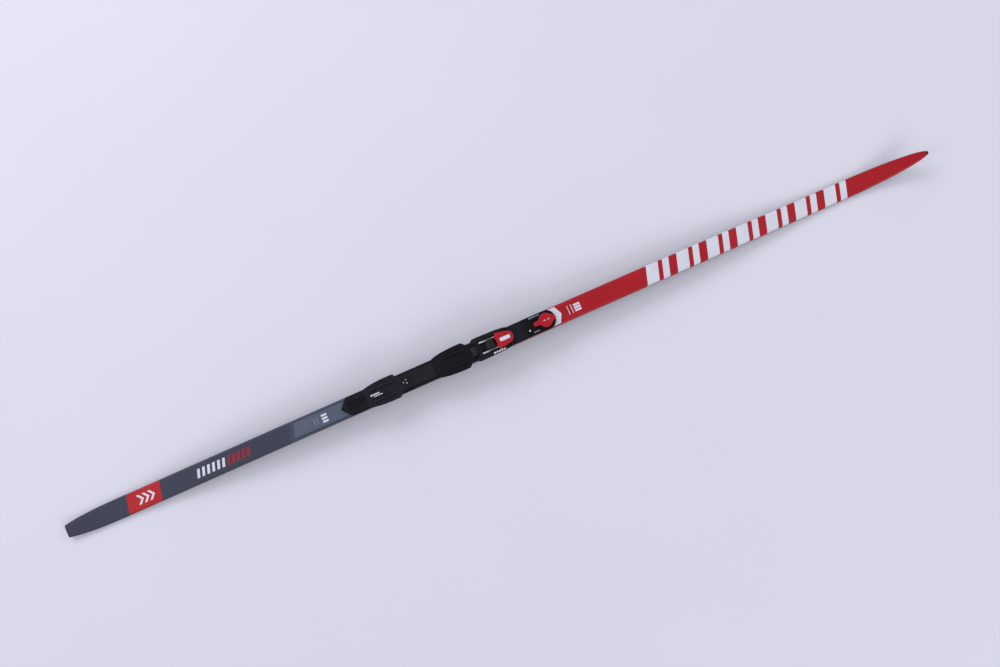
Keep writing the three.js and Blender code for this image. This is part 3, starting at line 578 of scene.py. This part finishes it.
def patch_print(name, corners, material, lift=2 * PRINT_LIFT):
    """A printed four-sided patch: corners rear right, front right, front left, rear left, as (x, y)."""
    rear_right, front_right, front_left, rear_left = (Vector(c) for c in corners)
    length = max((front_right - rear_right).length, (front_left - rear_left).length)
    count_x = max(1, math.ceil(length / STEP))
    count_y = max(1, math.ceil((rear_left - rear_right).length / STEP_ACROSS))
    rows = []
    for i in range(count_x + 1):
        right = rear_right.lerp(front_right, i / count_x)
        left = rear_left.lerp(front_left, i / count_x)
        row = [right.lerp(left, j / count_y) for j in range(count_y + 1)]
        rows.append([sheet_point(p.x, p.y, lift) for p in row])
    return shell(name, rows, PRINT_THICK, material, "ski")


def slanted(start, end, low, high, slant=SLANT):
    """Corners of a patch between two widths, slanted like the rest of the graphics."""
    return [
        (start + slant * low, low), (end + slant * low, low),
        (end + slant * high, high), (start + slant * high, high),
    ]


def top_sheet():
    """The sheet itself, with a rounded crown where the CAD part has a plain bevel."""
    rows = [[sheet_point(x, y) for y in across_sheet(x)] for x in SHEET["x"]]
    made = shell("top_sheet_look", rows, SHEET_THICK, FINISHES["topsheet"], "ski")
    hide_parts("top_sheet")
    return made


STRIPE_SHARE = 0.55  # how much of the sidewall's height is red on the forebody


def side_stripe(name, side, start):
    """The red of the forebody carried down over the upper part of a sidewall (side is 1 for left)."""
    corners = {}
    for vert in frame["nodes"]["sidewall_left"].data.vertices:
        corners.setdefault(round(vert.co.x, 6), []).append((vert.co.y, vert.co.z))
    known = sorted(corners)
    low = np.array([max(corners[x]) for x in known])  # the widest corner is the lower one
    high = np.array([max(corners[x], key=lambda c: c[0] + c[1]) for x in known])
    rows = []
    for x in [start] + [x for x in known if x > start + 5 * MM]:
        a = Vector([np.interp(x, known, high[:, k]) for k in (0, 1)])
        b = Vector([np.interp(x, known, low[:, k]) for k in (0, 1)])
        points = [a.lerp(b, share) for share in (0.02, STRIPE_SHARE)]
        rows.append([(Vector((x, side * (y + PRINT_LIFT), z)), Vector((0, side, 0))) for y, z in points])
    shell(name, rows, PRINT_THICK, RED_FILM, "ski")


TAIL_FIELD = -0.4875  # where the dark tail colour ends, on the middle line
PANEL_END = -0.345
RED_START = 0.104  # where the red forebody begins, on the middle line
RED_EDGE_START = 0.017  # and along the right edge
EDGE_IN, EDGE_OUT = 19.4 * MM, 22.5 * MM
BADGE = (-0.8690, -0.7915)
STREAK = (0.338, 0.8474)
STREAK_PAIRS = 7
STREAK_BARS = (("broad", 0.0, 0.39), ("narrow", 0.53, 0.21))  # start and width, as shares of a pair


def badge():
    """A red badge across the tail, with three generic arrowheads."""
    full_print("badge_field", *BADGE, BADGE_FILM, 2 * PRINT_LIFT, (0.22, 0.22))
    middle = sum(BADGE) / 2
    thick, reach, wide = 6 * MM, 9 * MM, 10.5 * MM
    for k, gap in enumerate((-16 * MM, -3 * MM, 10 * MM)):
        x = middle + gap
        for half, side in (("left", 1), ("right", -1)):
            y = side * wide
            corners = [(x, y), (x + thick, y), (x + reach + thick, 0), (x + reach, 0)]
            if side > 0:
                corners.reverse()
            patch_print(f"badge_arrow_{k + 1}_{half}", corners, WHITE_INK, 3 * PRINT_LIFT)


def bars(prefix, start, end, count, material, gap):
    """Slanted bars of equal width, filling start to end."""
    width = (end - start - gap * (count - 1)) / count
    half = 9.3 * MM
    for k in range(count):
        at = start + k * (width + gap)
        patch_print(f"{prefix}_{k + 1}", slanted(at, at + width, -half, half), material)


def streaks():
    """White slanted bars over the full width of the forebody: seven pairs, a broad and a narrow one."""
    pitch = (STREAK[1] - STREAK[0]) / STREAK_PAIRS
    for k in range(STREAK_PAIRS):
        at = STREAK[0] + k * pitch
        for kind, start, width in STREAK_BARS:
            begin = at + start * pitch
            full_print(f"streak_{kind}_{k + 1}", begin, begin + width * pitch, WHITE_INK, 2 * PRINT_LIFT)


def panel():
    """The lighter panel behind the binding, with a dark line along each side and faint strokes."""
    outer, inner = 17.2 * MM, 15.8 * MM
    start, end = TAIL_FIELD + 9 * MM, PANEL_END
    patch_print("panel_field", [
        (start - SLANT * inner, -inner), (end, -inner), (end, inner), (start + SLANT * inner, inner),
    ], PANEL_FILM)
    for side, sign in (("left", 1), ("right", -1)):
        low, high = sorted((sign * inner, sign * outer))
        patch_print(f"panel_line_{side}", slanted(start, end, low, high), SHADOW_INK)
    for k in range(4):
        at = start + (9 + 7 * k) * MM
        patch_print(f"panel_stroke_{k + 1}", slanted(at, at + 3.2 * MM, -7 * MM, 11 * MM, 1.1), STROKE_INK,
                    3 * PRINT_LIFT)


def graphics():
    """Everything printed on the ski, from tail to tip."""
    first, last = SHEET["x"][0] + 0.4 * MM, SHEET["x"][-1] - 0.4 * MM
    full_print("tail_field", first, TAIL_FIELD, GREY_FILM, slants=(0, SLANT))
    full_print("panel_border", TAIL_FIELD, PANEL_END, STRIP_FILM, slants=(SLANT, 0))
    panel()
    full_print("red_field", RED_START, last, RED_FILM, slants=(-0.3, 0))
    patch_print("red_edge", [
        (RED_EDGE_START, -EDGE_OUT), (RED_START + 8 * MM, -EDGE_OUT),
        (RED_START + 8 * MM, -EDGE_IN), (RED_EDGE_START + 4 * MM, -EDGE_IN),
    ], RED_FILM, PRINT_LIFT)
    side_stripe("red_side_left", 1, RED_START)
    side_stripe("red_side_right", -1, RED_EDGE_START)
    badge()
    bars("tail_white_bar", -0.7046, -0.6396, 6, WHITE_INK, 5.6 * MM)
    bars("tail_red_bar", -0.6337, -0.5815, 5, RED_INK, 5.2 * MM)
    for k, x in enumerate((-0.4335, -0.4265)):
        patch_print(f"panel_grey_bar_{k + 1}", slanted(x, x + 3.4 * MM, -7 * MM, 7 * MM, 0), GREY_INK,
                    3 * PRINT_LIFT)
    for k, y in enumerate((-9.6 * MM, -2.9 * MM, 3.8 * MM)):
        patch_print(f"panel_white_bar_{k + 1}", slanted(-0.4147, -0.4023, y, y + 4.2 * MM, 0), WHITE_INK,
                    3 * PRINT_LIFT)
    for k, x in enumerate((0.1525, 0.1605)):
        patch_print(f"fine_line_{k + 1}", slanted(x, x + 1.4 * MM, -10 * MM, 10 * MM, 0), WHITE_INK)
    for k, y in enumerate((-8.6 * MM, -2.6 * MM, 3.4 * MM)):
        patch_print(f"size_block_{k + 1}", slanted(0.1665, 0.181, y, y + 4.6 * MM, 0), WHITE_INK)
    streaks()


# ------------------------------------------------------------------ marks on the binding

SURFACES = {}
MARK_LIFT = 0.15 * MM  # clears the fillets that the rounding leaves in hollow corners
MARK_THICK = 0.12 * MM
MARK_STEP = 0.8 * MM  # between a mark's own points along the ski
DOT_LIFT, DOT_UNDERSIDE = 0.06 * MM, 0.02 * MM
ABOVE_ALL = 0.2  # a height over the whole object


def surface_of(node):
    """The CAD node's surface, to be met by rays."""
    if node not in SURFACES:
        mesh = frame["nodes"][node].data
        points = [v.co for v in mesh.vertices]
        SURFACES[node] = BVHTree.FromPolygons(points, [p.vertices for p in mesh.polygons])
    return SURFACES[node]


def on_top(node, x, y, lift):
    """The point above (x, y) on a CAD node's upper surface, and its normal."""
    point, normal, _, _ = surface_of(node).ray_cast(Vector((x, y, ABOVE_ALL)), Vector((0, 0, -1)))
    if normal.z < 0:
        normal = -normal
    return point + normal * lift, normal


def mark(name, node, corners, material):
    """A thin printed patch on a CAD node: corners as for patch_print."""
    a, b, c, d = (Vector(p) for p in corners)
    rows = []
    count = max(1, math.ceil((b - a).length / MARK_STEP))
    for i in range(count + 1):
        right, left = a.lerp(b, i / count), d.lerp(c, i / count)
        rows.append([on_top(node, *right.lerp(left, j / 2), MARK_LIFT) for j in range(3)])
    return shell(name, rows, MARK_THICK, material, body_of(node))


def square(x0, x1, y0, y1):
    """Corners of an upright patch, as for patch_print."""
    return [(x0, y0), (x1, y0), (x1, y1), (x0, y1)]


def dot(name, node, x, y, radius, material):
    """A round printed dot, as a closed disc."""
    mesh = bmesh.new()
    turns = np.linspace(0, 2 * math.pi, 24, endpoint=False)
    ring = [(x + radius * math.cos(a), y + radius * math.sin(a)) for a in turns]
    top = [mesh.verts.new(on_top(node, *p, DOT_LIFT)[0]) for p in ring]
    under = [mesh.verts.new(on_top(node, *p, DOT_UNDERSIDE)[0]) for p in ring]
    mesh.faces.new(top)
    mesh.faces.new(list(reversed(under)))
    for k in range(len(ring)):
        n = (k + 1) % len(ring)
        mesh.faces.new((top[n], top[k], under[k], under[n]))
    bmesh.ops.recalc_face_normals(mesh, faces=mesh.faces)
    data = bpy.data.meshes.new(name)
    mesh.to_mesh(data)
    mesh.free()
    return piece(name, data, material, body_of(node))


def row_of_marks(name, node, count, start, pitch, corners, ink):
    """A row of like marks; corners gives one mark's corners from where it starts."""
    for k in range(count):
        mark(f"{name}_{k + 1}", node, corners(start + k * pitch), ink)


def binding_marks():
    """The bars, dots and arrowheads printed on the binding, all generic."""
    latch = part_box("heel_plate")[0].x + 10.4 * MM
    row_of_marks("heel_mark", "heel_plate", 5, latch, 4.2 * MM,
                 lambda x: slanted(x, x + 3.2 * MM, 0, 3.2 * MM, 0.25), WHITE_INK)
    line = square(latch + 7 * MM, latch + 26 * MM, -3.4 * MM, -1.8 * MM)
    mark("heel_line", "heel_plate", line, WHITE_INK)
    cheek_y, half = -20.6 * MM, 1.6 * MM
    row_of_marks("housing_mark", "toe_housing", 5, -22 * MM, 5.6 * MM,
                 lambda x: slanted(x, x + 4 * MM, cheek_y - half, cheek_y + half, 0.3), WHITE_INK)
    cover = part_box("switch_cover")[0].x
    row_of_marks("cover_mark_left", "switch_cover", 6, cover + 12 * MM, 4.2 * MM,
                 lambda x: slanted(x, x + 2.8 * MM, 15.2 * MM, 18.4 * MM, 0.3), COVER_INK)
    row_of_marks("cover_mark_right", "switch_cover", 3, cover + 17 * MM, 4.6 * MM,
                 lambda x: square(x, x + 3.8 * MM, -15.6 * MM, -13.6 * MM), COVER_INK)
    dot("cover_dot", "switch_cover", cover + 10 * MM, -7.6 * MM, 1.8 * MM, WHITE_INK)
    knob_x = sum(c.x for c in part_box("knob_gear")) / 2
    for side, end in ((1, "front"), (-1, "rear")):
        tip, tail, half = knob_x + side * 8 * MM, knob_x + side * 2.5 * MM, 2.2 * MM
        corners = [(tail, -half), (tip, -0.3 * MM), (tip, 0.3 * MM), (tail, half)]
        mark(f"knob_arrow_{end}", "adjuster_knob", corners, KNOB_INK)
    lock, out = sum(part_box("size_lock"), Vector()) / 2, 4.2 * MM
    for k, turn in enumerate((math.pi, math.pi / 3, -math.pi / 3)):
        x, y = lock.x + out * math.cos(turn), out * math.sin(turn)
        dot(f"lock_dot_{k + 1}", "size_lock", x, y, 1.1 * MM, WHITE_INK)


# ------------------------------------------------------------------ build

UNROUNDED = 0.01 * MM
ROUNDING = {
    "base_sheet": 0.12 * MM, "sidewall_left": 0.15 * MM, "sidewall_right": 0.15 * MM,
    "tip_guard": 0.7 * MM, "tail_guard": 0.7 * MM, "lower_laminate": UNROUNDED,
    "upper_laminate": UNROUNDED, "core": UNROUNDED, "bail_wire": UNROUNDED,
    "rail_plate": 0.25 * MM, "switch_cover": 0.6 * MM, "nose_cap": 0.6 * MM, "detent_spring": 0.06 * MM,
    "adjuster_knob": 0.5 * MM, "knob_gear": 0.1 * MM, "knob_screw": 0.1 * MM, "adjuster_rack": 0.15 * MM,
    "toe_plate": 0.7 * MM, "toe_housing": 0.55 * MM, "bar_block": 0.35 * MM, "flexor": 0.8 * MM,
    "lever_pin": 0.2 * MM, "link_rail": 0.2 * MM, "toe_lever": 0.25 * MM, "lever_inlay": 0.15 * MM,
    "heel_plate": 0.7 * MM, "size_lock": 0.35 * MM, "bar_claw_left": 0.4 * MM, "bar_claw_right": 0.4 * MM,
    "body_rivet_left": 0.2 * MM, "body_rivet_right": 0.2 * MM,
    "link_rivet_left": 0.2 * MM, "link_rivet_right": 0.2 * MM,
}


def build():
    """Every visible piece of the ski and its binding."""
    top_sheet()
    graphics()
    for node in sorted(frame["nodes"]):
        if node != "top_sheet":
            refined(node, ROUNDING[node], FINISH_OF.get(node))
    binding_marks()


# ------------------------------------------------------------------ studio

FLOOR_HALF = 14.0
FLOOR_Z = -0.3 * MM  # just clear of the base


def floor():
    """A wide level floor, which isn't part of the object."""
    mesh = bpy.data.meshes.new("floor")
    corners = [(x * FLOOR_HALF, y * FLOOR_HALF, FLOOR_Z) for x, y in ((-1, -1), (1, -1), (1, 1), (-1, 1))]
    mesh.from_pydata(corners, [], [(0, 1, 2, 3)])
    made = bpy.data.objects.new("floor", mesh)
    bpy.context.scene.collection.objects.link(made)
    mesh.materials.append(pale_floor())


def softbox(name, place, size, power):
    """A rectangular light that faces the middle of the ski."""
    light = bpy.data.lights.new(name, "AREA")
    light.shape = "RECTANGLE"
    light.size, light.size_y = size
    light.energy = power
    light.color = (0.97, 0.98, 1.0)
    made = bpy.data.objects.new(name, light)
    made.location = place
    made.rotation_euler = (-Vector(place)).to_track_quat("-Z", "Y").to_euler()
    bpy.context.scene.collection.objects.link(made)


def studio():
    """Even light from all round, and a soft box beyond each side and each end, strongest at +Y."""
    world = bpy.data.worlds.new("soft_light")
    bpy.context.scene.world = world
    world.use_nodes = True
    background = world.node_tree.nodes["Background"]
    background.inputs["Color"].default_value = (0.93, 0.95, 1.0, 1.0)
    background.inputs["Strength"].default_value = 0.42
    softbox("key", (-0.9, 3.0, 2.4), (3.2, 1.6), 62)
    softbox("fill", (0.9, -3.2, 2.2), (3.2, 1.6), 38)
    softbox("tip_side", (3.6, 0.2, 2.2), (2.4, 1.6), 26)
    softbox("tail_side", (-3.6, -0.2, 2.2), (2.4, 1.6), 26)


CAMERA_PLACE = (-0.0584, -0.0750, 1.6893)
CAMERA_FORWARD = (0.03551, 0.05356, -0.99793)
CAMERA_RIGHT = (0.91488, -0.40358, 0.01089)


def camera():
    """The viewing angle of a person standing over the ski: 28 mm lens, 1.69 m up, nearly straight down."""
    forward = Vector(CAMERA_FORWARD).normalized()
    right = Vector(CAMERA_RIGHT).normalized()
    right = (right - forward * right.dot(forward)).normalized()
    up = right.cross(forward)
    lens = bpy.data.cameras.new("camera")
    lens.lens = 28.0
    lens.sensor_width = 36.0
    lens.clip_start = 0.01
    made = bpy.data.objects.new("camera", lens)
    turned = Matrix((right, up, -forward)).transposed().to_4x4()
    made.matrix_world = Matrix.Translation(CAMERA_PLACE) @ turned
    bpy.context.scene.collection.objects.link(made)
    bpy.context.scene.camera = made


build()
floor()
studio()
camera()
bpy.context.scene.view_settings.view_transform = "Standard"
